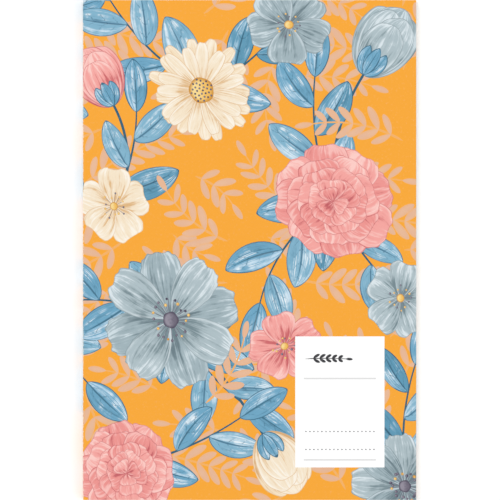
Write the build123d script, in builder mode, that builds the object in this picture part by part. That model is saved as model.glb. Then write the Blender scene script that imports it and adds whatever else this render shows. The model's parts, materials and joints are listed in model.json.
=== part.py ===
"""A square-backed paperback address book, closed and lying on its back cover.

Frame: +Z up through the front cover, +Y towards the head of the book, spine
along the -X side.  Origin at the middle of the back cover's outer face.
Millimetres.

How it is put together: a stack of single leaves is milled along one edge,
set in a layer of hot-melt glue and wrapped in one sheet of cover board that
is scored beside the spine.  The board is one sheet and each leaf is one
sheet; they are cut here along the line where the real sheet bends, so that
the part that stays in the binding and the part that swings are separate
solids.
"""

import os

from build123d import *

# ---------------------------------------------------------------- dimensions
trim_w = 152.4          # spine to fore-edge, 6 in
trim_h = 228.6          # head to tail, 9 in

board_t = 0.30          # printed and laminated cover board
glue_side_t = 0.10      # thin film of side glue under the board
glue_spine_t = 0.45     # hot-melt layer behind the spine
leaf_pitch = 0.1144     # one sheet of text paper, with the air beside it
leaf_t = 0.105          # the sheet itself

score_in = 6.5          # score line of the cover, from the spine's outer face
side_glue_in = 4.6      # how far the side glue reaches from the spine
slit_board = 0.05       # half of the cut at the board's score
slit_leaf = 0.10        # half of the cut at the leaves' bend
edge_r = 0.22           # outside radius of the folded spine edges

letters = "abcdefghijklmnopqrstuvwxyz"
leaves_per_letter = 2

# ------------------------------------------------------------------ heights
# every section is (node name, number of leaves), from the front of the book
sections = (
    [("owner_leaf", 1)]
    + [(f"leaves_{c}", leaves_per_letter) for c in letters]
    + [("notes_leaf", 1)]
)
leaf_count = sum(n for _, n in sections)
block_t = leaf_count * leaf_pitch

z_back_top = board_t                          # inner face of the back cover
z_block = z_back_top + glue_side_t            # underside of the leaf stack
z_block_top = z_block + block_t               # top of the leaf stack
z_front = z_block_top + glue_side_t           # inner face of the front cover
z_top = z_front + board_t                     # outer face of the front cover

# ------------------------------------------------------------------- widths
x_spine = -trim_w / 2                         # outer face of the spine
x_fore = trim_w / 2                           # cut fore-edge
x_score = x_spine + score_in                  # both scores and the leaves' bend
x_glue = x_spine + board_t                    # glue starts inside the board
x_bound = x_glue + glue_spine_t               # milled edge of the leaves

os.makedirs("parts", exist_ok=True)


def span(x0, x1):
    """Middle and width of a run along X."""
    return (x0 + x1) / 2, x1 - x0


# ------------------------------------------------------------ cover: panels
x_mid, x_len = span(x_score + slit_board, x_fore)

with BuildPart() as front_cover:
    with BuildSketch(Plane.XY.offset(z_front)):
        with Locations((x_mid, 0)):
            Rectangle(x_len, trim_h)
    extrude(amount=board_t)
front_cover.part.label = "front_cover"
export_step(front_cover.part, "parts/front_cover.step")

with BuildPart() as back_cover:
    with BuildSketch(Plane.XY):
        with Locations((x_mid, 0)):
            Rectangle(x_len, trim_h)
    extrude(amount=board_t)
back_cover.part.label = "back_cover"
export_step(back_cover.part, "parts/back_cover.step")

# ------------------------------------- cover: the spine and its glued strips
# the board's profile seen from the tail: strip, fold, spine, fold, strip
with BuildPart() as spine_wrap:
    with BuildSketch(Plane.XZ.offset(-trim_h / 2)):
        with BuildLine():
            Polyline(
                (x_score - slit_board, 0),
                (x_spine, 0),
                (x_spine, z_top),
                (x_score - slit_board, z_top),
                (x_score - slit_board, z_front),
                (x_glue, z_front),
                (x_glue, z_back_top),
                (x_score - slit_board, z_back_top),
                close=True,
            )
        make_face()
    extrude(amount=trim_h)
    folds = (
        spine_wrap.edges()
        .filter_by(Axis.Y)
        .group_by(Axis.X)[0]
    )
    fillet(folds, radius=edge_r)
spine_wrap.part.label = "spine_wrap"
export_step(spine_wrap.part, "parts/spine_wrap.step")

# ----------------------------------------------------------------- adhesive
glue_mid, glue_len = span(x_glue, x_bound)
with BuildPart() as spine_glue:
    with BuildSketch(Plane.XY.offset(z_back_top)):
        with Locations((glue_mid, 0)):
            Rectangle(glue_len, trim_h)
    extrude(amount=z_front - z_back_top)
spine_glue.part.label = "spine_glue"
export_step(spine_glue.part, "parts/spine_glue.step")

side_mid, side_len = span(x_bound, x_spine + side_glue_in)
with BuildPart() as front_side_glue:
    with BuildSketch(Plane.XY.offset(z_block_top)):
        with Locations((side_mid, 0)):
            Rectangle(side_len, trim_h)
    extrude(amount=glue_side_t)
front_side_glue.part.label = "front_side_glue"
export_step(front_side_glue.part, "parts/front_side_glue.step")

with BuildPart() as back_side_glue:
    with BuildSketch(Plane.XY.offset(z_back_top)):
        with Locations((side_mid, 0)):
            Rectangle(side_len, trim_h)
    extrude(amount=glue_side_t)
back_side_glue.part.label = "back_side_glue"
export_step(back_side_glue.part, "parts/back_side_glue.step")

# ------------------------------------------------- leaves: the bound margins
# one thin solid for each sheet, stacked up the spine
bound_mid, bound_len = span(x_bound, x_score - slit_leaf)
lift = (leaf_pitch - leaf_t) / 2              # air under each sheet
with BuildPart() as bound_margins:
    for i in range(leaf_count):
        with BuildSketch(Plane.XY.offset(z_block + i * leaf_pitch + lift)):
            with Locations((bound_mid, 0)):
                Rectangle(bound_len, trim_h)
        extrude(amount=leaf_t)
bound_margins.part.label = "bound_margins"
export_step(bound_margins.part, "parts/bound_margins.step")

# -------------------------------------------------- leaves: the free sheets
free_mid, free_len = span(x_score + slit_leaf, x_fore)
level = leaf_count                            # counted up from the back
for name, count in sections:
    with BuildPart() as leaves:
        for _ in range(count):
            level -= 1
            with BuildSketch(Plane.XY.offset(z_block + level * leaf_pitch + lift)):
                with Locations((free_mid, 0)):
                    Rectangle(free_len, trim_h)
            extrude(amount=leaf_t)
    leaves.part.label = name
    export_step(leaves.part, f"parts/{name}.step")

print(f"leaves {leaf_count}  block {block_t:.3f}  overall {trim_w} x {trim_h} x {z_top:.3f}")
print(f"hinge line x {x_score:.3f}  front outer face z {z_top:.4f}")
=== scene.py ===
"""A paperback address book on a pale floor: printed cover, leaves and binding.

Print and paper are drawn in millimetres on the cover's unrolled face (s along
the board from the front fore-edge round the spine to the back, y to the head)
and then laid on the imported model, in metres.
"""
import json
import math

import bpy
import numpy as np
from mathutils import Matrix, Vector
from mathutils.geometry import delaunay_2d_cdt

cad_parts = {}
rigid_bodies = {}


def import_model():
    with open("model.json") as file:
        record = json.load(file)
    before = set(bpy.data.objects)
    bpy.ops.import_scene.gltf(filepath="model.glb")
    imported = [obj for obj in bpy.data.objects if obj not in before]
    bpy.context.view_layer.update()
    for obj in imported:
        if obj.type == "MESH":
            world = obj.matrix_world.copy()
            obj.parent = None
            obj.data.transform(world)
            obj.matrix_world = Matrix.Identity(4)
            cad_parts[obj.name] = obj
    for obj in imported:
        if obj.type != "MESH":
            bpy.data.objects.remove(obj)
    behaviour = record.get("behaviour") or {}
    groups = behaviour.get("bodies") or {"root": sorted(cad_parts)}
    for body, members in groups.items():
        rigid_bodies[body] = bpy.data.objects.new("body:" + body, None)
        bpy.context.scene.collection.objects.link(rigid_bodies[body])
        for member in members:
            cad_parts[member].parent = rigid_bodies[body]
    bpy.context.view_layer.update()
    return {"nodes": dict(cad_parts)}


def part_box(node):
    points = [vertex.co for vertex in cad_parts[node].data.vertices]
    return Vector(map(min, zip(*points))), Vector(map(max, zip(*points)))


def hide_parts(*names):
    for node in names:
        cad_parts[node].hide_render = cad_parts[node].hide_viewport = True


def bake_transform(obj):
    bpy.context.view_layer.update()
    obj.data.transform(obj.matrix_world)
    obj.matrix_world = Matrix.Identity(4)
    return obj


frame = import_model()
MM = 0.001

# ------------------------------------------------------------ size of the book
lo_f, hi_f = [np.array(v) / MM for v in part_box("front_cover")]
lo_b, hi_b = [np.array(v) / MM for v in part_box("back_cover")]
lo_w, hi_w = [np.array(v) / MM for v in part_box("spine_wrap")]
lo_m, hi_m = [np.array(v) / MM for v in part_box("bound_margins")]
X_SPINE, X_FORE = lo_w[0], hi_f[0]
Z_TOP, Z_FRONT, Z_BACK = hi_f[2], lo_f[2], hi_b[2]
H = hi_f[1]
X_SCORE = 0.5 * (lo_f[0] + hi_w[0])
X_MILL = lo_m[0]
BOARD = Z_TOP - Z_FRONT
X_IN = X_SPINE + BOARD
FOLD = 0.22
ARC = FOLD * math.pi / 2

# where the unrolled cover changes direction
S_F1 = X_SPINE + FOLD              # front panel ends, fold starts
S_F2 = S_F1 - ARC                  # spine starts
S_B1 = S_F2 - (Z_TOP - 2 * FOLD)   # spine ends, back fold starts
S_B2 = S_B1 - ARC                  # back panel starts
S_END = S_B2 - (X_FORE - S_F1)     # back fore-edge


def outer(s):
    """Unrolled position to x, z on the printed face."""
    s = np.asarray(s, float)
    x = np.where(s >= S_F1, s, 0.0)
    z = np.where(s >= S_F1, Z_TOP, 0.0)
    a = (s < S_F1) & (s >= S_F2)
    t = (S_F1 - s) / FOLD
    x = np.where(a, S_F1 - FOLD * np.sin(t), x)
    z = np.where(a, Z_TOP - FOLD + FOLD * np.cos(t), z)
    a = (s < S_F2) & (s >= S_B1)
    x = np.where(a, X_SPINE, x)
    z = np.where(a, Z_TOP - FOLD - (S_F2 - s), z)
    a = (s < S_B1) & (s >= S_B2)
    t = (S_B1 - s) / FOLD
    x = np.where(a, S_F1 - FOLD * np.cos(t), x)
    z = np.where(a, FOLD - FOLD * np.sin(t), z)
    a = s < S_B2
    x = np.where(a, S_F1 + (S_B2 - s), x)
    z = np.where(a, 0.0, z)
    return x, z


# -------------------------------------------------------------------- colours
def lin(r, g, b):
    out = []
    for c in (r, g, b):
        c = c / 255.0
        out.append(c / 12.92 if c <= 0.04045 else ((c + 0.055) / 1.055) ** 2.4)
    return out


def ink(r, g, b):
    """Printing ink: weighed so that white stock is white in this light."""
    return [0.945 * c for c in lin(r, g, b)]


GROUND = ink(251, 170, 52)
TAN = ink(232, 184, 152)
TANSTEM = ink(246, 179, 103)
PINK = (ink(247, 167, 161), ink(206, 104, 107), ink(255, 207, 200))
PINK2 = (ink(240, 151, 146), ink(196, 94, 100), ink(252, 194, 188))
GREY = (ink(176, 193, 199), ink(118, 138, 145), ink(222, 233, 238))
GREY2 = (ink(162, 181, 188), ink(108, 128, 136), ink(210, 224, 230))
CREAM = (ink(248, 231, 204), ink(226, 184, 132), ink(255, 247, 233))
CREAM2 = (ink(246, 225, 193), ink(220, 174, 122), ink(254, 242, 222))
BLUE = (ink(111, 168, 198), ink(50, 98, 122), ink(194, 222, 240))
BLUE2 = (ink(96, 155, 184), ink(44, 90, 114), ink(178, 212, 232))
BLUE3 = (ink(131, 181, 206), ink(58, 106, 134), ink(210, 231, 244))
PLUM = (ink(112, 106, 122), ink(82, 76, 94), ink(150, 144, 158))
OCHRE = (ink(242, 190, 96), ink(208, 146, 62), ink(252, 222, 150))
WHITE = lin(255, 255, 255)
RULE = lin(222, 222, 222)
CHARCOAL = lin(58, 58, 62)

K_FLAT, K_TAN, K_LEAF, K_PETAL, K_STEM, K_DISC, K_LABEL, K_RULE, K_BOARD = range(9)


# --------------------------------------------------------------- drawn shapes
class Shape:
    """One brush shape: an axis that is a circular arc, with a width along it."""

    def __init__(self, kind, pal, origin, ang, L, W, bend=0.0, p=1.0, q=1.0,
                 stem=0.0, notch=0.0, ruf=0.0, rk=9, rph=0.0, seed=0.0, n=34,
                 squash=(1.0, 0.0, (0.0, 0.0))):
        self.kind, self.pal, self.seed = kind, pal, seed
        self.o = np.array(origin, float)
        self.ang, self.L, self.W, self.bend = ang, L, W, bend
        self.p, self.q, self.stem = p, q, stem
        self.sq = squash
        if stem:
            v = np.linspace(0, 1, n)
            w = W * (1 - stem * v) * np.minimum(1.0, 0.2 + v * L / 3.0)
            s = np.concatenate([v * L, v[::-1] * L])
            d = np.concatenate([w, -w[::-1]])
        else:
            t = np.linspace(0, 2 * np.pi, n, endpoint=False)
            s = L * ((1 - np.cos(t)) / 2) ** q
            sn = np.sin(t)
            d = W * np.sign(sn) * np.abs(sn) ** p
            if notch:
                s = s - L * notch * np.exp(-(((t - np.pi) / 0.34) ** 2))
            if ruf:
                fade = np.clip((s / L - 0.35) / 0.4, 0, 1)
                s = s + L * ruf * fade * np.sin(rk * t + rph)
                d = d * (1 + 1.4 * ruf * fade * np.sin(0.7 * rk * t + 2 * rph))
        self.poly = self.place(s, d)
        self.lo, self.hi = self.poly.min(0), self.poly.max(0)

    def place(self, s, d):
        k = self.bend / self.L
        if abs(k) < 1e-5:
            x, y = s, d
        elif k > 0:
            r = 1 / k - d
            x, y = r * np.sin(s * k), 1 / k - r * np.cos(s * k)
        else:
            r = -1 / k + d
            x, y = r * np.sin(-s * k), 1 / k + r * np.cos(s * k)
        c, a = math.cos(self.ang), math.sin(self.ang)
        P = np.stack([self.o[0] + c * x - a * y, self.o[1] + a * x + c * y], 1)
        f, b, m = self.sq
        if f != 1.0:
            m = np.array(m)
            e = np.array([math.cos(b), math.sin(b)])
            P = P + ((P - m) @ e)[:, None] * (f - 1) * e[None]
        return P

    def local(self, P):
        f, b, m = self.sq
        if f != 1.0:
            m = np.array(m)
            e = np.array([math.cos(b), math.sin(b)])
            P = P + ((P - m) @ e)[:, None] * (1 / f - 1) * e[None]
        c, a = math.cos(self.ang), math.sin(self.ang)
        q = P - self.o
        x, y = c * q[:, 0] + a * q[:, 1], -a * q[:, 0] + c * q[:, 1]
        k = self.bend / self.L
        if abs(k) < 1e-5:
            s, d = x, y
        elif k > 0:
            s = np.arctan2(x, 1 / k - y) / k
            d = 1 / k - np.hypot(x, 1 / k - y)
        else:
            s = np.arctan2(x, y - 1 / k) / -k
            d = np.hypot(x, y - 1 / k) + 1 / k
        v = np.clip(s / self.L, 0, 1)
        if self.stem:
            w = self.W * (1 - self.stem * v)
        else:
            t = np.arccos(np.clip(1 - 2 * v ** (1 / self.q), -1, 1))
            w = self.W * np.sin(t) ** self.p
        u = np.clip(d / np.maximum(w, 0.12 * self.W), -1.2, 1.2)
        return u, v


class Disc(Shape):
    def __init__(self, kind, pal, c, r, seed=0.0, n=14, squash=(1.0, 0.0, (0.0, 0.0)),
                 wob=0.0):
        self.kind, self.pal, self.seed = kind, pal, seed
        self.o, self.r = np.array(c, float), r
        t = np.linspace(0, 2 * np.pi, n, endpoint=False)
        rr = r * (1 + wob * np.sin(5 * t + seed * 40))
        P = np.stack([c[0] + rr * np.cos(t), c[1] + rr * np.sin(t)], 1)
        f, b, m = squash
        self.sq = squash
        if f != 1.0:
            e = np.array([math.cos(b), math.sin(b)])
            P = P + ((P - np.array(m)) @ e)[:, None] * (f - 1) * e[None]
        self.poly = P
        self.lo, self.hi = P.min(0), P.max(0)

    def local(self, P):
        f, b, m = self.sq
        if f != 1.0:
            e = np.array([math.cos(b), math.sin(b)])
            P = P + ((P - np.array(m)) @ e)[:, None] * (1 / f - 1) * e[None]
        q = P - self.o
        return q[:, 0] / self.r, np.hypot(q[:, 0], q[:, 1]) / self.r


class Rect(Shape):
    def __init__(self, kind, pal, x0, y0, x1, y1):
        self.kind, self.pal, self.seed = kind, pal, 0.0
        self.poly = np.array([(x0, y0), (x1, y0), (x1, y1), (x0, y1)], float)
        self.lo, self.hi = self.poly.min(0), self.poly.max(0)

    def local(self, P):
        return np.zeros(len(P)), np.zeros(len(P))


def flat(c):
    return (c, c, c)


def stem_end(o, ang, L, bend, v):
    k = bend / L
    s = v * L
    if abs(k) < 1e-5:
        x, y = s, 0.0
    else:
        x, y = math.sin(s * k) / k, (1 - math.cos(s * k)) / k
    c, a = math.cos(ang), math.sin(ang)
    return (o[0] + c * x - a * y, o[1] + a * x + c * y), ang + bend * v


def cosmos(c, R, pal, rng, n=8, rot=0.0, tilt=(1.0, 0.0), pal2=None):
    """Open bloom of broad separate petals with a ring of stamens."""
    out, sq = [], (tilt[0], tilt[1], tuple(c))
    order = list(range(0, n, 2)) + list(range(1, n, 2))
    for i in order:
        a = rot + 2 * math.pi * (i + rng.uniform(-0.10, 0.10)) / n
        L = R * rng.uniform(0.93, 1.05)
        b = (c[0] + 0.05 * R * math.cos(a), c[1] + 0.05 * R * math.sin(a))
        out.append(Shape(K_PETAL, pal if i % 2 else (pal2 or pal), b, a, L,
                         R * 2.55 / n * rng.uniform(0.94, 1.06), rng.uniform(-0.12, 0.12),
                         p=0.80, q=0.60, notch=rng.uniform(0.02, 0.06), ruf=0.016,
                         rk=int(rng.integers(9, 15)), rph=rng.uniform(0, 6), seed=rng.uniform(),
                         n=54, squash=sq))
    for i in range(22):
        a = rot + 2 * math.pi * (i + rng.uniform(-0.3, 0.3)) / 22
        L = R * rng.uniform(0.20, 0.31)
        out.append(Shape(K_STEM, flat(PLUM[0]), stem_end(c, a, 0.08 * R, 0, 1)[0], a, L - 0.08 * R, 0.16,
                         rng.uniform(-0.3, 0.3), stem=0.3, n=5, seed=rng.uniform(), squash=sq))
        e, _ = stem_end(c, a, L, 0, 1)
        out.append(Disc(K_DISC, PLUM if i % 3 else OCHRE, e, rng.uniform(0.55, 0.8),
                        seed=rng.uniform(), n=9, squash=sq))
    out.append(Disc(K_DISC, PLUM, c, R * 0.12, seed=rng.uniform(), n=22, squash=sq, wob=0.05))
    return out


def peony(c, R, pal, rng, rot=0.0, tilt=(1.0, 0.0), pal2=None):
    """Full bloom: rings of rounded petals, smaller towards the heart."""
    out, sq = [], (tilt[0], tilt[1], tuple(c))
    rings = ((8, 1.0, 0.40), (7, 0.80, 0.36), (6, 0.60, 0.31), (5, 0.42, 0.25), (3, 0.25, 0.17))
    for j, (n, rl, rw) in enumerate(rings):
        r0 = rot + 0.9 * j
        for i in range(n):
            a = r0 + 2 * math.pi * (i + rng.uniform(-0.12, 0.12)) / n
            L = R * rl * rng.uniform(0.94, 1.05)
            out.append(Shape(K_PETAL, pal if (i + j) % 2 else (pal2 or pal), c, a, L,
                             R * rw * rng.uniform(0.94, 1.06), rng.uniform(-0.2, 0.2), p=0.74,
                             q=0.50, notch=rng.uniform(0.0, 0.07), ruf=0.014,
                             rk=int(rng.integers(8, 13)), rph=rng.uniform(0, 6),
                             seed=rng.uniform(), n=50, squash=sq))
    return out


def daisy(c, R, pal, rng, n=15, rot=0.0, tilt=(1.0, 0.0), pal2=None):
    """Many narrow petals in two layers about a domed button."""
    out, sq = [], (tilt[0], tilt[1], tuple(c))
    for j in range(2):
        for i in range(n):
            a = rot + 2 * math.pi * (i + 0.5 * j + rng.uniform(-0.15, 0.15)) / n
            L = R * (1.0 - 0.10 * j) * rng.uniform(0.90, 1.05)
            out.append(Shape(K_PETAL, pal if j else (pal2 or pal), c, a, L,
                             R * 2.0 / n * rng.uniform(0.9, 1.1), rng.uniform(-0.22, 0.22),
                             p=0.85, q=0.62, notch=rng.uniform(0.0, 0.05), seed=rng.uniform(),
                             n=36, squash=sq))
    out.append(Disc(K_DISC, OCHRE, c, R * 0.235, seed=rng.uniform(), n=30, squash=sq, wob=0.03))
    for i in range(30):
        a = 2.39996 * i
        r = R * 0.215 * math.sqrt((i + 0.5) / 30)
        out.append(Disc(K_DISC, PLUM, (c[0] + r * math.cos(a), c[1] + r * math.sin(a)),
                        R * 0.020, seed=rng.uniform(), n=7, squash=sq))
    return out


def five(c, R, pal, rng, rot=0.0, tilt=(1.0, 0.0)):
    """Small simple blossom of five notched petals."""
    out, sq = [], (tilt[0], tilt[1], tuple(c))
    for i in (0, 2, 4, 1, 3):
        a = rot + 2 * math.pi * i / 5 + rng.uniform(-0.08, 0.08)
        out.append(Shape(K_PETAL, pal, c, a, R * rng.uniform(0.94, 1.04), R * 0.46, 0.0, p=0.72,
                         q=0.50, notch=0.07, ruf=0.010, rk=9, rph=rng.uniform(0, 6),
                         seed=rng.uniform(), n=42, squash=sq))
    for i in range(13):
        a = 2 * math.pi * (i + rng.uniform(-0.3, 0.3)) / 13
        L = R * rng.uniform(0.20, 0.34)
        out.append(Shape(K_STEM, flat(PLUM[0]), stem_end(c, a, 0.07 * R, 0, 1)[0], a, L - 0.07 * R, 0.13, 0.0,
                         stem=0.3, n=4, seed=rng.uniform(), squash=sq))
        e, _ = stem_end(c, a, L, 0, 1)
        out.append(Disc(K_DISC, OCHRE if i % 3 else PLUM, e, rng.uniform(0.42, 0.6),
                        seed=rng.uniform(), n=8, squash=sq))
    out.append(Disc(K_DISC, OCHRE, c, R * 0.11, seed=rng.uniform(), n=16, squash=sq))
    return out


def tulip(o, ang, L, pal, rng, pal2=None, leafpal=BLUE, root=(0.0, 0.0)):
    """Side view of a half-open bloom on a stalk that comes from root."""
    out = []
    chord = math.hypot(o[0] - root[0], o[1] - root[1])
    phi = math.atan2(o[1] - root[1], o[0] - root[0])
    dl = math.atan2(math.sin(ang - phi), math.cos(ang - phi))
    dl = max(-1.2, min(1.2, dl)) or 1e-3
    out.append(Shape(K_STEM, flat(leafpal[1]), root, phi - dl, chord * dl / math.sin(dl), 0.72, 2 * dl,
                     stem=0.2, n=24))
    for da, l, w, pl in ((0.36, 0.92, 0.27, pal2 or pal), (-0.36, 0.94, 0.27, pal2 or pal),
                         (0.0, 0.98, 0.30, pal2 or pal), (0.20, 0.90, 0.26, pal),
                         (-0.22, 0.88, 0.27, pal), (0.0, 0.74, 0.26, pal)):
        out.append(Shape(K_PETAL, pl, o, ang + da, L * l, L * w, -da * 1.1, p=0.95, q=0.80,
                         ruf=0.008, rk=7, rph=rng.uniform(0, 6), seed=rng.uniform(), n=44))
    for da in (0.75, -0.75, 0.0):
        out.append(Shape(K_LEAF, leafpal, o, ang + da, L * 0.40, L * 0.085, -da * 1.2, p=1.4,
                         q=1.0, seed=rng.uniform(), n=24))
    return out


def branch(o, ang, L, bend, n, leaf, wid, pals, rng, spread=0.85, stempal=None, lw=0.62):
    """Stalk with paired long leaves and one at the tip."""
    out = [Shape(K_STEM, flat((stempal or pals[0][1])), o, ang, L, lw, bend, stem=0.5, n=22)]
    for i in range(n):
        v = 0.10 + 0.86 * i / n
        p, a = stem_end(o, ang, L, bend, v)
        side = 1 if i % 2 else -1
        size = (1.0 - 0.25 * v) * rng.uniform(0.88, 1.08)
        out.append(Shape(K_LEAF, pals[int(rng.integers(len(pals)))], p,
                         a + side * spread * rng.uniform(0.85, 1.12), leaf * size,
                         wid * size * rng.uniform(0.9, 1.1), -side * rng.uniform(0.15, 0.55),
                         p=1.45, q=rng.uniform(0.98, 1.12), seed=rng.uniform(), n=34))
    p, a = stem_end(o, ang, L, bend, 0.97)
    out.append(Shape(K_LEAF, pals[0], p, a, leaf * 0.85, wid * 0.82, rng.uniform(-0.2, 0.2), p=1.45,
                     q=1.05, seed=rng.uniform(), n=34))
    return out


def sprig(o, ang, L, bend, leaf, wid, rng, col=TAN, stem=TANSTEM, spread=0.92):
    """Flat one-colour frond with small paired leaflets, behind the blooms."""
    out = [Shape(K_STEM, flat(stem), o, ang, L, 0.62, bend, stem=0.55, n=22)]
    n = max(3, int(L / 6.4))
    for i in range(n):
        v = 0.14 + 0.82 * i / n
        p, a = stem_end(o, ang, L, bend, v)
        size = (1.0 - 0.42 * v) * (0.8 if i == 0 else 1.0)
        for side in (1, -1):
            out.append(Shape(K_TAN, flat(col), p, a + side * spread * rng.uniform(0.92, 1.08),
                             leaf * size * rng.uniform(0.92, 1.08), wid * size, -side * 0.30, p=1.12,
                             q=0.86, seed=rng.uniform(), n=20))
    p, a = stem_end(o, ang, L, bend, 0.97)
    out.append(Shape(K_TAN, flat(col), p, a, leaf * 0.66, wid * 0.66, 0.0, p=1.12, q=0.86,
                     seed=rng.uniform(), n=20))
    return out


def fronds(x0, x1, y0, y1, tries, rng, taken, gap, l0, l1):
    """Fill a region with fronds whose stalks keep clear of one another."""
    out = []
    for _ in range(tries):
        o = np.array([rng.uniform(x0, x1), rng.uniform(y0, y1)])
        a, L, b = rng.uniform(0, 2 * math.pi), rng.uniform(l0, l1), rng.uniform(-0.9, 0.9)
        line = np.array([stem_end(o, a, L, b, v)[0] for v in np.linspace(-0.02, 1.12, 14)])
        if taken:
            near = taken[0][(np.abs(taken[0] - o) < 70).all(1)]
            if len(near) and ((line[:, None] - near[None]) ** 2).sum(2).min() < gap * gap:
                continue
            taken[0] = np.concatenate([taken[0], line])
        else:
            taken.append(line)
        out += sprig(o, a, L, b, 12.5, 2.15, rng)
    return out


# --------------------------------------------------------------------- layout
def design():
    rng = np.random.default_rng(411)
    D = math.radians
    back, mid, top = [], [], []
    taken = []

    # ---- spine and back panel: a loose lattice of the same plants
    x0, x1 = S_END + 14.0, S_B2 - 18.0
    for i in range(3):
        for j in range(4):
            cx = x0 + (i + 0.5 + (0.22 if j % 2 else -0.22)) * (x1 - x0) / 3
            cy = -H + (j + 0.5 + (0.16 if i % 2 else -0.10)) * 2 * H / 4
            k = (i * 2 + j * 3) % 6
            cx, cy = cx + rng.uniform(-4, 4), cy + rng.uniform(-4, 4)
            a0 = rng.uniform(0, 6.28)
            for m in range(2):
                mid += branch((cx, cy), a0 + 2.1 * m, rng.uniform(40, 52), rng.uniform(-0.7, 0.7), 3, 30, 7.4,
                              (BLUE, BLUE2, BLUE3), rng)
            tilt = (rng.uniform(0.9, 0.97), rng.uniform(0, 3))
            if k == 0:
                top += peony((cx, cy), 27, PINK, rng, a0, tilt, PINK2)
            elif k == 1:
                top += cosmos((cx, cy), 28, GREY, rng, 8, a0, tilt, GREY2)
            elif k == 2:
                top += daisy((cx, cy), 25, CREAM, rng, 15, a0, tilt, CREAM2)
            elif k == 3:
                bloom = tulip((cx, cy), a0, 32, PINK2, rng, PINK,
                              root=(cx - 62 * math.cos(a0 + 0.4), cy - 62 * math.sin(a0 + 0.4)))
                mid.append(bloom[0])
                top += bloom[1:]
            elif k == 4:
                top += five((cx, cy), 20, CREAM, rng, a0, tilt)
            else:
                top += cosmos((cx, cy), 25, PINK, rng, 7, a0, tilt, PINK2)

    # ---- front panel: blue boughs from behind the blooms
    for o, a, L, b, n, lf, w in (
            ((-22, 74), 150, 60, -0.5, 4, 31, 7.2), ((-22, 74), 20, 44, 0.6, 3, 30, 7.0),
            ((38, 22), 112, 60, -0.5, 4, 31, 7.2), ((38, 22), -148, 60, 0.8, 4, 31, 7.4),
            ((38, 22), -66, 50, 0.4, 3, 30, 7.0), ((-36, -30), 158, 50, 0.5, 3, 31, 7.2),
            ((-36, -30), -64, 56, 0.5, 4, 31, 7.2), ((-54, -98), 12, 56, 0.4, 3, 30, 7.0),
            ((72, -108), 100, 58, -0.5, 4, 29, 6.6), ((-62, 22), 62, 44, 0.5, 3, 29, 6.6)):
        mid += branch(o, D(a), L, b, n, lf, w, (BLUE, BLUE2, BLUE3), rng)

    # ---- front panel: blooms
    for o, a, L, p1, p2, root in (((52, 80), 58, 36, GREY, GREY2, (38, 22)),
                                  ((-62, 66), 118, 30, PINK, PINK2, (-60, 20)),
                                  ((6, -84), -58, 32, CREAM, CREAM2, (-36, -32))):
        bloom = tulip(o, D(a), L, p1, rng, p2, root=root)
        mid.insert(0, bloom[0])
        top += bloom[1:]
    top += five((-62, 20), 18, CREAM, rng, 0.3, (0.9, 0.4))
    top += five((18, 103), 20, GREY2, rng, 0.9, (0.9, 1.4))
    top += daisy((-22, 73), 26, CREAM, rng, 15, 0.1, (0.90, 0.6), CREAM2)
    top += peony((38, 22), 28, PINK, rng, 0.2, (0.93, 1.1), PINK2)
    top += cosmos((-36, -32), 32, GREY, rng, 8, 0.25, (0.92, 0.3), GREY2)
    top += peony((-56, -102), 25, PINK2, rng, 1.0, (0.92, 0.2), PINK)
    top += cosmos((71, -108), 24, GREY2, rng, 8, 0.0, (0.95, 0.8), GREY)
    top += five((16, -44), 17, PINK, rng, 0.5, (0.92, 2.0))
    top += five((69, -22), 18, GREY, rng, 0.1, (0.9, 0.2))

    # ---- fine fronds fill the ground, front first, and a few lie over the boughs
    for lay, o, a, L, b in ((back, (-70, 104), -30, 40, 0.6), (mid, (70, 50), 150, 44, 0.7),
                            (mid, (-10, 4), 160, 38, -0.7), (mid, (-20, -70), 40, 36, 0.7)):
        lay += sprig(o, D(a), L, b, 12.5, 2.15, rng)
        line = np.array([stem_end(o, D(a), L, b, v)[0] for v in np.linspace(-0.02, 1.12, 14)])
        taken[:] = [np.concatenate([taken[0], line]) if taken else line]
    for gap, l0, l1 in ((10.6, 34, 56), (9.8, 22, 34), (9.0, 14, 22)):
        back += fronds(-78, 78, -116, 116, 2600, rng, taken, gap, l0, l1)
        back += fronds(S_END - 4, S_F1, -116, 116, 2600, rng, taken, gap, l0, l1)

    # ---- printed label: two rules, a small twig and dotted writing lines
    lab = [Rect(K_LABEL, flat(WHITE), 20.9, -99.4, 61.7, -39.5),
           Rect(K_RULE, flat(RULE), 24.8, -59.1, 57.8, -58.4),
           Rect(K_RULE, flat(RULE), 24.8, -96.3, 57.8, -95.6)]
    tw = (25.4, -49.8)
    lab.append(Shape(K_STEM, flat(CHARCOAL), tw, 0.06, 19.0, 0.22, -0.12, stem=0.3, n=14))
    for i in range(5):
        p, a = stem_end(tw, 0.06, 19.0, -0.12, 0.20 + 0.15 * i)
        for side in (1, -1):
            lab.append(Shape(K_STEM, flat(CHARCOAL), p, a + side * 0.80, 3.6 - 0.25 * i, 0.66, -side * 0.5,
                             p=1.25, q=0.9, n=14))
    p, a = stem_end(tw, 0.06, 19.0, -0.12, 0.98)
    lab.append(Shape(K_STEM, flat(CHARCOAL), p, a, 3.2, 0.62, 0.0, p=1.25, q=0.9, n=14))
    for y in (-83.0, -91.2):
        for i in range(18):
            lab.append(Disc(K_STEM, flat(CHARCOAL), (25.8 + 1.829 * i, y), 0.30, n=8))
    return back + mid + top + lab


SHAPES = design()


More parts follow.
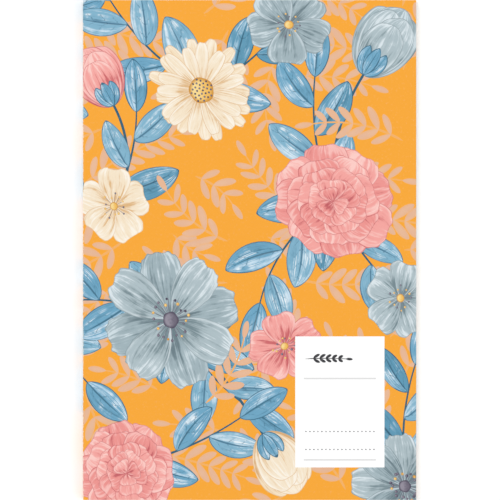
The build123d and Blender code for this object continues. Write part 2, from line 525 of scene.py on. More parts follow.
# ------------------------------------------------------- the printed face, cut
def in_poly(P, poly):
    x, y = P[:, 0][:, None], P[:, 1][:, None]
    a, b = poly, np.roll(poly, -1, 0)
    up = (a[None, :, 1] > y) != (b[None, :, 1] > y)
    dy = b[:, 1] - a[:, 1]
    dy = np.where(np.abs(dy) < 1e-12, 1e-12, dy)
    xi = a[None, :, 0] + (y - a[None, :, 1]) * ((b[:, 0] - a[:, 0]) / dy)[None]
    return (np.sum(up & (x < xi), 1) % 2) == 1


def edge_dist(P, poly):
    a, b = poly, np.roll(poly, -1, 0)
    ab = b - a
    l2 = np.maximum((ab ** 2).sum(1), 1e-12)
    ap = P[:, None, :] - a[None]
    t = np.clip((ap * ab[None]).sum(2) / l2[None], 0, 1)
    d = ap - t[:, :, None] * ab[None]
    return np.sqrt((d ** 2).sum(2).min(1))


def cut_face(s0, s1, lines):
    """Triangles of the unrolled face from s0 to s1, cut along every outline."""
    pts, edges = [], []

    def loop(poly, closed=True):
        k = len(pts)
        pts.extend(map(tuple, poly))
        n = len(poly)
        edges.extend((k + i, k + (i + 1) % n) for i in range(n if closed else n - 1))

    ys = np.linspace(-H, H, 77)
    for s in [s0, s1] + list(lines):
        loop(np.stack([np.full(77, s), ys], 1), False)
    xs = np.linspace(s0, s1, max(4, int((s1 - s0) / 3)))
    xs = xs[np.abs(xs[:, None] - np.array(lines)[None]).min(1) > 0.05]
    for y in (-H, H):
        loop(np.stack([xs, np.full(len(xs), y)], 1), False)
    used = []
    for sh in SHAPES:
        if sh.hi[0] < s0 or sh.lo[0] > s1 or sh.hi[1] < -H or sh.lo[1] > H:
            continue
        used.append(sh)
        loop(sh.poly)
    g = 1.7
    row = 0
    y = -H + g / 2
    while y < H:
        x = s0 + g * (0.5 if row % 2 else 1.0)
        while x < s1:
            pts.append((x, y))
            x += g
        y += g * 0.866
        row += 1
    V, _, F, _, _, _ = delaunay_2d_cdt([Vector(p) for p in pts], edges, [], 0, 0.008)
    V = np.array([tuple(v) for v in V])
    for k, ends in ((0, (s0, s1)), (1, (-H, H))):
        for e in ends:
            V[np.abs(V[:, k] - e) < 0.02, k] = e
    F = np.array([tuple(f) for f in F])
    C = V[F].mean(1)
    ok = (C[:, 0] > s0) & (C[:, 0] < s1) & (np.abs(C[:, 1]) < H)
    F, C = F[ok], C[ok]
    a, b, c = V[F[:, 0]], V[F[:, 1]], V[F[:, 2]]
    area = (b[:, 0] - a[:, 0]) * (c[:, 1] - a[:, 1]) - (b[:, 1] - a[:, 1]) * (c[:, 0] - a[:, 0])
    if np.median(area) < 0:
        F = F[:, ::-1]
    who = np.full(len(F), -1)
    for i, sh in enumerate(used):
        m = np.where((C[:, 0] > sh.lo[0]) & (C[:, 0] < sh.hi[0]) & (C[:, 1] > sh.lo[1]) & (C[:, 1] < sh.hi[1]))[0]
        if len(m):
            who[m[in_poly(C[m], sh.poly)]] = i
    keep = np.unique(F)
    new = np.full(len(V), -1)
    new[keep] = np.arange(len(keep))
    V, F = V[keep], new[F]
    n = len(F)
    uv = np.zeros((n, 3, 2))
    aux = np.zeros((n, 3, 3))
    col = np.zeros((3, n, 3, 3))
    col[:] = np.array(GROUND)
    aux[:, :, 1] = 9.0
    for i, sh in enumerate(used):
        m = np.where(who == i)[0]
        if not len(m):
            continue
        P = V[F[m]].reshape(-1, 2)
        u, v = sh.local(P)
        uv[m, :, 0], uv[m, :, 1] = u.reshape(-1, 3), v.reshape(-1, 3)
        aux[m, :, 0] = sh.kind
        aux[m, :, 1] = edge_dist(P, sh.poly).reshape(-1, 3)
        aux[m, :, 2] = sh.seed
        for j in range(3):
            col[j, m] = np.array(sh.pal[j])
    return V, F, uv, aux, col


def zipped(A, ta, B, tb):
    """Triangles of the strip between two point runs, A and B, with rising params."""
    out, i, j = [], 0, 0
    while i < len(A) - 1 or j < len(B) - 1:
        if j == len(B) - 1 or (i < len(A) - 1 and ta[i + 1] <= tb[j + 1]):
            out.append((A[i], A[i + 1], B[j]))
            i += 1
        else:
            out.append((A[i], B[j + 1], B[j]))
            j += 1
    return out


def set_layer(me, name, kind, domain, data):
    at = me.attributes.new(name, kind, domain)
    key = {"FLOAT_COLOR": "color", "FLOAT": "value", "FLOAT2": "vector"}[kind]
    at.data.foreach_set(key, np.asarray(data, np.float32).ravel())


def cover_piece(name, s0, s1, lines, inner_x):
    """One closed sheet of board: printed outer face, plain inner face, cut edges.

    inner_x lists the inner face's unrolled stations as (s, x, z), from s1 to s0.
    """
    V, F, uv, aux, col = cut_face(s0, s1, lines)
    x, z = outer(V[:, 0])
    groove = 0.045 * np.exp(-(((x - X_SCORE) / 0.30) ** 2))
    on_front = V[:, 0] > S_F1
    on_back = V[:, 0] < S_B2
    z = z - np.where(on_front, groove, 0) + np.where(on_back, groove, 0)
    co = np.stack([x, V[:, 1], z], 1)
    nv = len(co)
    rows = np.linspace(-H, H, 25)
    inner = np.array([(ix, y, iz) for (_, ix, iz) in inner_x for y in rows])
    nr = len(rows)
    verts = np.concatenate([co, inner]) * MM
    tris = [tuple(f) for f in F]
    n_print = len(tris)

    def iid(c, r):
        return nv + c * nr + r

    quads = []
    for c in range(len(inner_x) - 1):
        for r in range(nr - 1):
            quads.append((iid(c + 1, r), iid(c + 1, r + 1), iid(c, r + 1), iid(c, r)))
    # cut edges all round
    eps = 1e-4
    S = np.array([i[0] for i in inner_x])
    walls, ends = [], []
    for yy, r, flip in ((H, nr - 1, True), (-H, 0, False)):
        idx = np.where(np.abs(V[:, 1] - yy) < eps)[0]
        idx = idx[np.argsort(-V[idx, 0])]
        t = zipped(list(idx), list(s1 - V[idx, 0]), [iid(c, r) for c in range(len(inner_x))], list(s1 - S))
        walls += [q[::-1] if flip else q for q in t]
        ends.append(len(walls))
    for ss, c, flip in ((s1, 0, True), (s0, len(inner_x) - 1, False)):
        idx = np.where(np.abs(V[:, 0] - ss) < eps)[0]
        idx = idx[np.argsort(V[idx, 1])]
        t = zipped(list(idx), list(V[idx, 1]), [iid(c, r) for r in range(nr)], list(rows))
        walls += [q[::-1] if flip else q for q in t]
        ends.append(len(walls))
    faces = tris + walls + quads
    me = bpy.data.meshes.new(name)
    me.from_pydata([tuple(v) for v in verts], [], [tuple(int(i) for i in f) for f in faces])
    nl = len(me.loops)
    k = 3 * n_print
    UV = np.zeros((nl, 2))
    UV[:k] = uv.reshape(-1, 2)
    AUX = np.ones((nl, 4))
    AUX[:, 0], AUX[:, 1], AUX[:, 2] = K_BOARD, 9.0, 0.5
    AUX[:k, :3] = aux.reshape(-1, 3)
    sheet = np.zeros((nl, 2))
    sheet[:k] = V[F].reshape(-1, 2)
    lv = np.zeros(nl, np.int32)
    me.loops.foreach_get("vertex_index", lv)
    rest = verts[lv[k:]] / MM
    sheet[k:, 0], sheet[k:, 1] = rest[:, 0] + rest[:, 2] + 400, rest[:, 1]
    set_layer(me, "sheet", "FLOAT2", "CORNER", sheet / 100.0)
    # one flat map without overlaps: the print on most of it, then the inner face, then the cut edges
    inn = np.maximum(lv - nv, 0)
    is_in = lv >= nv
    out_v = np.minimum(lv, nv - 1)
    along = (np.where(is_in, S[inn // nr], V[out_v, 0]) - s0) / (s1 - s0)
    up = (np.where(is_in, rows[inn % nr], V[out_v, 1]) + H) / (2 * H)
    lay = np.stack([0.004 + 0.900 * along, 0.004 + 0.992 * up], 1)
    q = k + 3 * len(walls)
    lay[q:, 0] = 0.912 + 0.050 * along[q:]
    a = k
    for i, e in enumerate(ends):
        b = k + 3 * e
        lay[a:b, 0] = 0.971 + 0.007 * i + 0.004 * is_in[a:b]
        lay[a:b, 1] = 0.004 + 0.992 * (along if i < 2 else up)[a:b]
        a = b
    set_layer(me, "OFBake", "FLOAT2", "CORNER", lay)
    set_layer(me, "brush", "FLOAT2", "CORNER", UV)
    set_layer(me, "aux", "FLOAT_COLOR", "CORNER", AUX)
    for j, nm in enumerate(("ink_base", "ink_dark", "ink_light")):
        C = np.ones((nl, 4))
        C[:, :3] = WHITE
        C[:k, :3] = col[j].reshape(-1, 3)
        set_layer(me, nm, "FLOAT_COLOR", "CORNER", C)
    me.polygons.foreach_set("use_smooth", np.ones(len(me.polygons), bool))
    me.set_sharp_from_angle(angle=math.radians(40))
    me.validate()
    ob = bpy.data.objects.new(name, me)
    bpy.context.scene.collection.objects.link(ob)
    return ob


# ------------------------------------------------------------------ materials
class Net:
    """Small helper to wire shader nodes."""

    def __init__(self, name):
        self.m = bpy.data.materials.new(name)
        self.m.use_nodes = True
        self.t = self.m.node_tree
        self.bsdf = self.t.nodes["Principled BSDF"]

    def put(self, socket, v):
        if v is None:
            return
        if isinstance(v, bpy.types.NodeSocket):
            self.t.links.new(v, socket)
        else:
            socket.default_value = v

    def math(self, op, a, b=None, c=None, clamp=False):
        n = self.t.nodes.new("ShaderNodeMath")
        n.operation, n.use_clamp = op, clamp
        for i, v in enumerate((a, b, c)):
            self.put(n.inputs[i], v)
        return n.outputs[0]

    def add(self, a, b):
        return self.math("ADD", a, b)

    def sub(self, a, b):
        return self.math("SUBTRACT", a, b)

    def mul(self, a, b):
        return self.math("MULTIPLY", a, b)

    def madd(self, a, b, c):
        return self.math("MULTIPLY_ADD", a, b, c)

    def step(self, x, lo, hi, a=0.0, b=1.0):
        n = self.t.nodes.new("ShaderNodeMapRange")
        n.interpolation_type = "SMOOTHSTEP"
        self.put(n.inputs["Value"], x)
        for k, v in (("From Min", lo), ("From Max", hi), ("To Min", a), ("To Max", b)):
            self.put(n.inputs[k], v)
        return n.outputs[0]

    def vec(self, x, y, z=0.0):
        n = self.t.nodes.new("ShaderNodeCombineXYZ")
        for i, v in enumerate((x, y, z)):
            self.put(n.inputs[i], v)
        return n.outputs[0]

    def sep(self, v):
        n = self.t.nodes.new("ShaderNodeSeparateXYZ")
        self.put(n.inputs[0], v)
        return n.outputs

    def noise(self, v, scale, detail=3.0, rough=0.55, dim="3D", distort=0.0):
        n = self.t.nodes.new("ShaderNodeTexNoise")
        n.noise_dimensions = dim
        self.put(n.inputs["Vector"], v)
        for k, val in (("Scale", scale), ("Detail", detail), ("Roughness", rough), ("Distortion", distort)):
            self.put(n.inputs[k], val)
        return n.outputs["Fac"]

    def mix(self, f, a, b, mode="MIX"):
        n = self.t.nodes.new("ShaderNodeMix")
        n.data_type, n.blend_type = "RGBA", mode
        n.clamp_factor = True
        self.put(n.inputs[0], f)
        for s, v in ((n.inputs[6], a), (n.inputs[7], b)):
            self.put(s, v if isinstance(v, bpy.types.NodeSocket) else (*v, 1.0))
        return n.outputs[2]

    def attr(self, name, out="Vector"):
        n = self.t.nodes.new("ShaderNodeAttribute")
        n.attribute_name = name
        return n.outputs[out]

    def uv(self, name):
        n = self.t.nodes.new("ShaderNodeUVMap")
        n.uv_map = name
        return n.outputs[0]

    def bump(self, height, dist, strength=1.0, normal=None):
        n = self.t.nodes.new("ShaderNodeBump")
        self.put(n.inputs["Height"], height)
        n.inputs["Distance"].default_value = dist
        n.inputs["Strength"].default_value = strength
        if normal is not None:
            self.put(n.inputs["Normal"], normal)
        return n.outputs[0]

    def out(self, **kw):
        for k, v in kw.items():
            s = self.bsdf.inputs[k.replace("_", " ")]
            self.put(s, v)
        return self.m


def cover_material():
    g = Net("cover_print")
    sheet = g.uv("sheet")
    U, V, _ = g.sep(g.uv("brush"))
    kind, edge, seed = g.sep(g.attr("aux"))[:3]
    base, dark, light = (g.attr(n, "Color") for n in ("ink_base", "ink_dark", "ink_light"))

    blot = g.noise(sheet, 12.0, 3.0, 0.55)            # washes about a centimetre wide
    fine = g.noise(sheet, 90.0, 3.0, 0.6)             # pigment grain
    st1 = g.noise(g.vec(g.madd(U, 2.6, g.mul(seed, 41.0)), g.madd(V, 0.75, g.mul(seed, 13.0)), g.mul(seed, 7.0)),
                  1.7, 4.0, 0.62)
    st2 = g.noise(g.vec(g.madd(U, 7.5, g.mul(seed, 17.0)), g.madd(V, 1.1, g.mul(seed, 29.0)), g.mul(seed, 5.0)),
                  1.6, 3.0, 0.55)
    absU = g.math("ABSOLUTE", U)

    # petals: washed from a deep base to a pale rim, with long streaks
    t = g.add(g.madd(V, 0.72, 0.04), g.mul(g.sub(st1, 0.5), 1.9))
    t = g.add(t, g.mul(g.sub(st2, 0.5), 1.0))
    t = g.add(t, g.mul(g.sub(blot, 0.5), 0.9))
    pet = g.mix(g.step(t, -0.02, 0.44), dark, base)
    pet = g.mix(g.step(t, 0.56, 0.95), pet, light)
    dry = g.mul(g.step(st2, 0.54, 0.68), g.mul(g.step(V, 0.30, 0.60), g.step(blot, 0.46, 0.60)))
    pet = g.mix(g.mul(dry, 0.75), pet, light)
    ln = g.math("ABSOLUTE", g.sub(g.math("FRACT", g.add(g.mul(U, 3.2), g.mul(st1, 1.6))), 0.5))
    vein = g.mul(g.step(ln, 0.11, 0.02), g.step(V, 0.75, 0.12))
    pet = g.mix(g.mul(vein, 0.42), pet, dark)
    rim = g.mul(g.step(edge, 1.9, 0.7), g.step(st1, 0.42, 0.62))
    pet = g.mix(g.mul(rim, 0.75), pet, light)
    line = g.step(g.add(edge, g.mul(g.sub(st2, 0.5), 0.7)), 0.42, 0.12)
    pet = g.mix(g.mul(line, 0.70), pet, dark)

    # leaves: two-tone halves, a broken rib with a few veins, white dry-brush lights
    half = g.step(g.add(U, g.mul(g.sub(st1, 0.5), 0.5)), -0.10, 0.16)
    t = g.add(g.madd(half, 0.26, 0.34), g.mul(g.sub(st1, 0.5), 1.3))
    t = g.add(t, g.mul(g.sub(st2, 0.5), 0.6))
    t = g.add(t, g.mul(g.sub(blot, 0.5), 0.9))
    leaf = g.mix(g.step(t, -0.30, 0.34), dark, base)
    leaf = g.mix(g.step(t, 0.46, 0.92), leaf, light)
    wet = g.mul(g.step(st2, 0.47, 0.62), g.mul(g.step(absU, 0.06, 0.24), g.step(absU, 0.90, 0.60)))
    wet = g.mul(wet, g.mul(g.step(V, 0.28, 0.50), g.step(blot, 0.44, 0.58)))
    leaf = g.mix(g.mul(wet, 0.92), leaf, ink(238, 247, 252))
    wob = g.mul(g.sub(st1, 0.5), 0.7)
    sv = g.math("ABSOLUTE", g.sub(g.math("FRACT", g.add(g.sub(g.mul(V, 4.4), g.mul(absU, 1.25)), wob)), 0.5))
    some = g.mul(g.step(absU, 0.78, 0.30), g.step(st2, 0.40, 0.56))
    leaf = g.mix(g.mul(g.mul(g.step(sv, 0.075, 0.02), some), 0.62), leaf, dark)
    rib = g.step(g.math("DIVIDE", absU, g.sub(1.12, V)), 0.13, 0.04)
    leaf = g.mix(g.mul(g.mul(rib, g.step(V, 0.97, 0.70)), 0.80), leaf, dark)
    line = g.step(g.add(edge, g.mul(g.sub(st1, 0.5), 1.1)), 0.50, 0.16)
    leaf = g.mix(g.mul(line, 0.90), leaf, dark)

    # buttons and stamens: a light from one side
    disc = g.mix(g.step(g.add(U, g.mul(g.sub(fine, 0.5), 1.2)), -0.5, 0.5), light, base)
    disc = g.mix(g.step(V, 0.62, 1.0), disc, dark)

    # fronds: thin paint, so the ground tints it towards the outline
    tan = g.mix(g.mul(g.step(blot, 0.42, 0.66), 0.40), base, ink(240, 194, 158))
    tan = g.mix(g.mul(g.step(g.add(absU, g.mul(g.sub(fine, 0.5), 0.6)), 0.30, 1.05), 0.55), tan, ink(243, 181, 118))
    plain = g.mix(g.mul(g.step(fine, 0.55, 0.75), 0.06), base, lin(255, 255, 255))

    def is_kind(k):
        return g.math("COMPARE", kind, float(k), 0.4)

    col = g.mix(is_kind(K_TAN), plain, tan)
    col = g.mix(is_kind(K_LEAF), col, leaf)
    col = g.mix(is_kind(K_PETAL), col, pet)
    col = g.mix(is_kind(K_DISC), col, disc)
    # the two folds of the spine are rubbed a little pale
    at = g.mul(g.sep(sheet)[0], 100.0)
    fold = g.math("MINIMUM", *(g.math("ABSOLUTE", g.sub(at, e - ARC / 2)) for e in (S_F1, S_B1)))
    rub = g.mul(g.step(fold, 0.55, 0.12), g.step(g.add(fine, g.mul(blot, 0.5)), 0.62, 0.90))
    col = g.mix(g.mul(rub, 0.55), col, lin(252, 242, 222))
    board = g.mix(g.step(fine, 0.35, 0.65), lin(243, 241, 235), lin(250, 249, 245))
    raw = is_kind(K_BOARD)
    col = g.mix(raw, col, board)

    film = g.noise(sheet, 260.0, 2.0, 0.5)
    rough = g.add(g.madd(film, 0.10, 0.46), g.mul(raw, 0.28))
    height = g.add(g.mul(film, 0.5), g.mul(blot, 0.5))
    return g.out(Base_Color=col, Roughness=rough, Normal=g.bump(height, 0.00002, 0.5), Specular_IOR_Level=0.16)


def paper_material():
    g = Net("text_paper")
    page = g.uv("page")                      # millimetres / 100 from the middle
    X, Y, _ = g.sep(page)
    x, y = g.mul(X, 100.0), g.mul(Y, 100.0)
    side, sec, rnd = g.sep(g.attr("leaf"))[:3]
    fibre = g.noise(g.vec(g.mul(X, 1.0), g.mul(Y, 0.45), rnd), 160.0, 4.0, 0.65)
    cloud = g.noise(g.vec(X, Y, rnd), 9.0, 2.0, 0.5)
    col = g.mix(g.step(fibre, 0.3, 0.7), lin(244, 240, 229), lin(252, 249, 241))
    col = g.mix(g.mul(cloud, 0.25), col, lin(248, 241, 224))
    ink_line = lin(142, 150, 160)

    face = g.step(g.math("ABSOLUTE", side), 0.4, 0.6)
    # address entries: blocks of five writing lines, the top one heavier, with field marks
    inx = g.mul(g.step(x, -58.05, -57.95), g.step(x, 64.05, 63.95))
    iny = g.mul(g.step(y, -96.6, -96.5), g.step(y, 95.5, 95.4))
    row = g.madd(g.math("FRACT", g.math("DIVIDE", g.add(y, 99.0), 38.4)), 38.4 / 7.2, -3.0 / 7.2)
    near = g.math("ROUND", row)
    off = g.math("ABSOLUTE", g.sub(row, near))
    body = g.step(near, 4.6, 4.4)
    head = g.math("COMPARE", near, 4.0, 0.4)
    thin = g.mul(g.step(off, 0.020, 0.014), body)
    bold = g.mul(g.step(off, 0.034, 0.026), head)
    lines = g.mul(g.math("MAXIMUM", thin, bold), g.mul(inx, iny))
    col = g.mix(g.mul(g.mul(lines, face), 0.9), col, ink_line)
    line_no = g.math("FLOOR", row)
    up = g.sub(row, line_no)
    xr = g.madd(side, g.sub(x, 3.0), 3.0)          # counted from the reader's left on either face
    # a small sign before each line: envelope, telephone, house and person, from the lowest up
    fx = g.math("ABSOLUTE", g.mul(g.add(xr, 56.5), 1 / 1.3))
    fy = g.mul(g.sub(up, 0.37), 7.2 / 1.3)

    def block(cx, y0, cy):
        return g.math("MAXIMUM", g.sub(fx, cx), g.sub(g.math("ABSOLUTE", g.sub(fy, y0)), cy))

    def round_at(y0, r):
        dy = g.sub(fy, y0)
        return g.sub(g.math("SQRT", g.add(g.mul(fx, fx), g.mul(dy, dy))), r)

    def less(a, b):
        return g.math("MAXIMUM", a, g.mul(b, -1.0))

    fold = g.sub(0.10, g.math("ABSOLUTE", g.add(g.sub(fy, g.mul(fx, 0.85)), 0.22)))
    envelope = g.math("MAXIMUM", block(1.0, 0.0, 0.70), fold)
    phone = less(block(0.58, 0.0, 0.98), block(0.36, 0.12, 0.60))
    roof = g.math("MAXIMUM", g.sub(g.madd(fx, 0.95, fy), 1.0), g.sub(0.02, fy))
    house = less(g.math("MINIMUM", block(0.68, -0.45, 0.47), roof), block(0.20, -0.70, 0.36))
    person = g.math("MINIMUM", round_at(0.52, 0.42), g.math("MAXIMUM", round_at(-0.92, 0.90), g.sub(-0.92, fy)))
    sign = 1.0
    for i, shape in enumerate((envelope, phone, house, person)):
        sign = g.add(sign, g.mul(g.math("COMPARE", line_no, float(i), 0.4), g.sub(shape, 1.0)))
    mark = g.mul(g.step(sign, 0.07, -0.07), iny)
    col = g.mix(g.mul(g.mul(mark, face), 0.85), col, lin(112, 160, 190))
    split = g.mul(g.mul(g.step(xr, 8.0, 8.05), g.step(xr, 8.4, 8.35)), g.math("COMPARE", g.math("FLOOR", row), 0.0, 0.4))
    split = g.mul(g.mul(split, iny), g.step(up, 0.55, 0.5))
    col = g.mix(g.mul(g.mul(split, face), 0.8), col, ink_line)
    # index block at the fore-edge, one step lower for each section
    yc = g.madd(sec, -8.1, 101.25)
    dy = g.math("ABSOLUTE", g.sub(y, yc))
    has = g.mul(g.step(sec, -0.5, -0.4), g.step(sec, 25.6, 25.5))
    tab = g.mul(g.mul(g.step(dy, 3.75, 3.65), g.step(x, 70.0, 70.1)), has)
    m3 = g.math("MODULO", g.add(sec, 0.01), 3.0)
    tint = g.mix(g.step(m3, 0.5, 0.6), lin(118, 167, 196), lin(246, 176, 164))
    tint = g.mix(g.step(m3, 1.5, 1.6), tint, lin(250, 178, 70))
    col = g.mix(g.mul(tab, g.madd(face, 0.55, 0.35)), col, tint)
    # head of the page: a rule and an empty box for the section's mark, on the fore-edge side
    q = g.math("MAXIMUM", g.math("ABSOLUTE", g.sub(x, 58.6)), g.math("ABSOLUTE", g.sub(y, 100.6)))
    inside = g.mul(g.step(q, 5.3, 5.2), has)
    rim = g.mul(g.step(g.math("ABSOLUTE", g.sub(q, 5.25)), 0.24, 0.14), has)
    rule = g.mul(g.mul(g.step(x, -58.05, -57.95), g.step(x, 51.05, 50.95)),
                 g.mul(g.step(g.math("ABSOLUTE", g.sub(y, 95.35)), 0.24, 0.14), has))
    col = g.mix(g.mul(g.mul(inside, face), 0.22), col, tint)
    col = g.mix(g.mul(g.mul(g.math("MAXIMUM", rim, rule), face), 0.85), col, tint)
    # cut edges: greyer from sheet to sheet and along each sheet, partly a random tone and partly painted shade
    # where a sheet would stand a hair in or out
    cut = g.sub(1.0, face)
    run = g.noise(g.vec(X, Y, g.mul(rnd, 23.0)), 3.2, 3.0, 0.6)
    sheet_tone_and_shade = g.add(g.mul(rnd, 0.5), g.step(run, 0.36, 0.66, 0.0, 0.5))
    col = g.mix(g.mul(cut, sheet_tone_and_shade), col, lin(222, 214, 199))
    return g.out(Base_Color=col, Roughness=g.madd(fibre, 0.12, 0.78), Specular_IOR_Level=0.25,
                 Normal=g.bump(fibre, 0.00002, 0.35))


def glue_material():
    g = Net("hot_melt")
    c = g.t.nodes.new("ShaderNodeTexCoord").outputs["Object"]
    n = g.noise(c, 420.0, 4.0, 0.6)
    b = g.noise(c, 90.0, 2.0, 0.5)
    col = g.mix(g.step(n, 0.35, 0.68), lin(232, 224, 202), lin(246, 241, 226))
    col = g.mix(g.mul(b, 0.35), col, lin(224, 208, 172))
    return g.out(Base_Color=col, Roughness=g.madd(n, 0.2, 0.32), Normal=g.bump(n, 0.0001, 0.4))


def floor_material():
    g = Net("pale_floor")
    c = g.t.nodes.new("ShaderNodeTexCoord").outputs["Object"]
    n = g.noise(c, 900.0, 3.0, 0.6)
    col = g.mix(g.step(n, 0.3, 0.7), (0.975, 0.975, 0.975), (0.99, 0.99, 0.99))
    return g.out(Base_Color=col, Roughness=g.madd(n, 0.05, 0.85), Specular_IOR_Level=0.1,
                 Emission_Color=(1, 1, 1, 1), Emission_Strength=0.085)


MAT_COVER, MAT_PAPER, MAT_GLUE, MAT_FLOOR = cover_material(), paper_material(), glue_material(), floor_material()

# ------------------------------------------------------------------ the cover
crease = [X_SCORE + d for d in (-0.9, -0.6, -0.4, -0.25, -0.12, 0.0, 0.12, 0.25, 0.4, 0.6, 0.9)]
fold_f = [S_F1 - ARC * i / 4 for i in range(5)]
fold_b = [S_B1 - ARC * i / 4 for i in range(1, 5)]

panel_in = [X_FORE, 60.0, 40.0, 20.0, 0.0, -20.0, -40.0, -60.0, -66.0] + crease[::-1] + [-73.0]
inner_front = [(x, x, Z_FRONT) for x in panel_in] + [(S_F1, X_IN, Z_FRONT)]
inner_front += [(S_F2 - t * (S_F2 - S_B1), X_IN, Z_FRONT + t * (Z_BACK - Z_FRONT)) for t in (0.25, 0.5, 0.75)]
inner_front += [(S_B1, X_IN, Z_BACK)]

front = cover_piece("cover_front", S_B1, X_FORE, crease + fold_f, inner_front)
inner_back = [(S_B1, X_IN, Z_BACK)]
inner_back += [(S_B2 - (x - S_F1), x, Z_BACK) for x in panel_in[::-1]]
backp = cover_piece("cover_back", S_END, S_B1, [S_B2 - (x - S_F1) for x in crease] + fold_b, inner_back)
for ob in (front, backp):
    ob.data.materials.append(MAT_COVER)
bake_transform(front)
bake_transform(backp)
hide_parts("front_cover", "spine_wrap")
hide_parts("back_cover")

# ------------------------------------------------------------------ the leaves
names = ["owner_leaf"] + ["leaves_" + c for c in "abcdefghijklmnopqrstuvwxyz"] + ["notes_leaf"]
rng = np.random.default_rng(26)
cols_x = [X_MILL, -73.5, X_SCORE - 1.0, X_SCORE] + [X_SCORE + d for d in (0.12, 0.25, 0.4, 0.55, 0.75, 1.0, 1.3, 1.6, 2.0, 2.4, 2.8, 3.3, 3.8, 4.4, 5.0, 6.0, 7.5, 9.0, 11.0, 13.5, 16.0)] + [-45.0, -25.0, 0.0, 25.0, 50.0, 68.0, X_FORE]
rows_y = list(np.linspace(-H, H, 9))
LEAF_T = 0.105
PITCH = (hi_m[2] - lo_m[2] - LEAF_T) / 53.0
level = 54


def leaf_piece(name, k, count):
    global level
    verts, faces, uvs, info, lay = [], [], [], [], []
    nc, nr = len(cols_x), len(rows_y)
    for j in range(count):
        level -= 1
        z0 = lo_m[2] + level * PITCH
        cut = rng.uniform(-0.05, 0.0)          # each sheet's own hair's breadth at the trim
        r = rng.uniform()
        off = len(verts)
        for z in (z0, z0 + LEAF_T):
            for x in cols_x:
                for y in rows_y:
                    verts.append((x + (cut if x == X_FORE else 0.0), y, z))

        def vid(l, c, w):
            return off + l * nc * nr + c * nr + w

        def quad(q, side, strip=0):
            faces.append(q)
            for v in q:
                x, y, z = verts[v]
                uvs.append((x / 100, y / 100))
                info.append((side, k - 1, r, 1.0))
                a, b = (x - X_MILL) / (X_FORE - X_MILL), 0.004 + 0.992 * (y + H) / (2 * H)
                if side:                       # like pages share a place, cut edges have one each
                    lay.append(((0.003 if side > 0 else 0.470) + 0.455 * a, b))
                else:
                    u = 0.936 + 0.0078 * (2 * strip + j) + 0.005 * (z > z0)
                    lay.append((u, b if strip > 1 else 0.004 + 0.992 * a))

        for c in range(nc - 1):
            for w in range(nr - 1):
                quad((vid(1, c, w), vid(1, c + 1, w), vid(1, c + 1, w + 1), vid(1, c, w + 1)), 1.0)
                quad((vid(0, c, w), vid(0, c, w + 1), vid(0, c + 1, w + 1), vid(0, c + 1, w)), -1.0)
            quad((vid(0, c, 0), vid(0, c + 1, 0), vid(1, c + 1, 0), vid(1, c, 0)), 0.0)
            quad((vid(0, c, nr - 1), vid(1, c, nr - 1), vid(1, c + 1, nr - 1), vid(0, c + 1, nr - 1)), 0.0, 1)
        for w in range(nr - 1):
            quad((vid(0, nc - 1, w), vid(0, nc - 1, w + 1), vid(1, nc - 1, w + 1), vid(1, nc - 1, w)), 0.0, 2)
            quad((vid(0, 0, w), vid(1, 0, w), vid(1, 0, w + 1), vid(0, 0, w + 1)), 0.0, 3)
    me = bpy.data.meshes.new("sheet_" + name)
    me.from_pydata([(x * MM, y * MM, z * MM) for x, y, z in verts], [], faces)
    set_layer(me, "page", "FLOAT2", "CORNER", uvs)
    set_layer(me, "OFBake", "FLOAT2", "CORNER", lay)
    set_layer(me, "leaf", "FLOAT_COLOR", "CORNER", info)
    me.polygons.foreach_set("use_smooth", np.ones(len(me.polygons), bool))
    me.set_sharp_from_angle(angle=math.radians(40))
    ob = bpy.data.objects.new("sheet_" + name, me)
    bpy.context.scene.collection.objects.link(ob)
    me.materials.append(MAT_PAPER)
    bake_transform(ob)
    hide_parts(name)
    return ob


sheets = [leaf_piece(n, k, 1 if k in (0, 27) else 2) for k, n in enumerate(names)]
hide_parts("bound_margins")

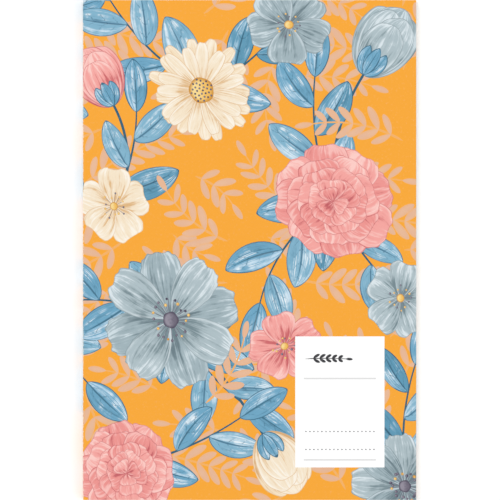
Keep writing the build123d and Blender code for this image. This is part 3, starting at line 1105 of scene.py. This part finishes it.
# ----------------------------------------------------------------- the binding
for n in ("spine_glue", "front_side_glue", "back_side_glue"):
    ob = frame["nodes"][n] if isinstance(frame["nodes"], dict) else bpy.data.objects[n]
    ob.data.materials.clear()
    ob.data.materials.append(MAT_GLUE)

# ------------------------------------------------------------------- the stage
me = bpy.data.meshes.new("floor")
me.from_pydata([(x, y, -0.00042) for x, y in ((-40, -40), (40, -40), (40, 40), (-40, 40))], [], [(0, 1, 2, 3)])
floor = bpy.data.objects.new("floor", me)
bpy.context.scene.collection.objects.link(floor)
me.materials.append(MAT_FLOOR)

scene = bpy.context.scene
scene.view_settings.view_transform = "Standard"
world = bpy.data.worlds.new("studio")
world.use_nodes = True
bg = world.node_tree.nodes["Background"]
# a broad overhead tent: bright above, softer at the sides, and as pale as the floor where they meet
wn, wl = world.node_tree.nodes, world.node_tree.links
way = wn.new("ShaderNodeSeparateXYZ")
wl.new(wn.new("ShaderNodeTexCoord").outputs["Generated"], way.inputs[0])
tent = wn.new("ShaderNodeValToRGB")
stops = tent.color_ramp.elements
stops.new(0.05)
stops.new(0.16)
for stop, v in zip(stops, (0.775, 0.68, 0.37, 0.925)):
    stop.color = (v, v, v, 1)
wl.new(way.outputs[2], tent.inputs[0])
wl.new(tent.outputs[0], bg.inputs["Color"])
scene.world = world


def softbox(name, loc, size, power):
    li = bpy.data.lights.new(name, "AREA")
    li.shape, li.size, li.energy = "DISK", size, power
    ob = bpy.data.objects.new(name, li)
    ob.location = loc
    ob.rotation_euler = (Vector((0, 0, 0)) - Vector(loc)).to_track_quat("-Z", "Y").to_euler()
    scene.collection.objects.link(ob)


softbox("key", (-0.6, 0.9, 2.7), 1.6, 25.0)
softbox("fill", (1.6, -1.0, 2.2), 1.8, 8.0)

cam = bpy.data.cameras.new("camera")
DIST = 2.4
cam.sensor_width = 36.0
cam.lens = 18.0 / ((H * MM) / DIST)
cam.clip_end = 50
co = bpy.data.objects.new("camera", cam)
co.location = (0.00022, 0.0, Z_TOP * MM + DIST)
scene.collection.objects.link(co)
scene.camera = co
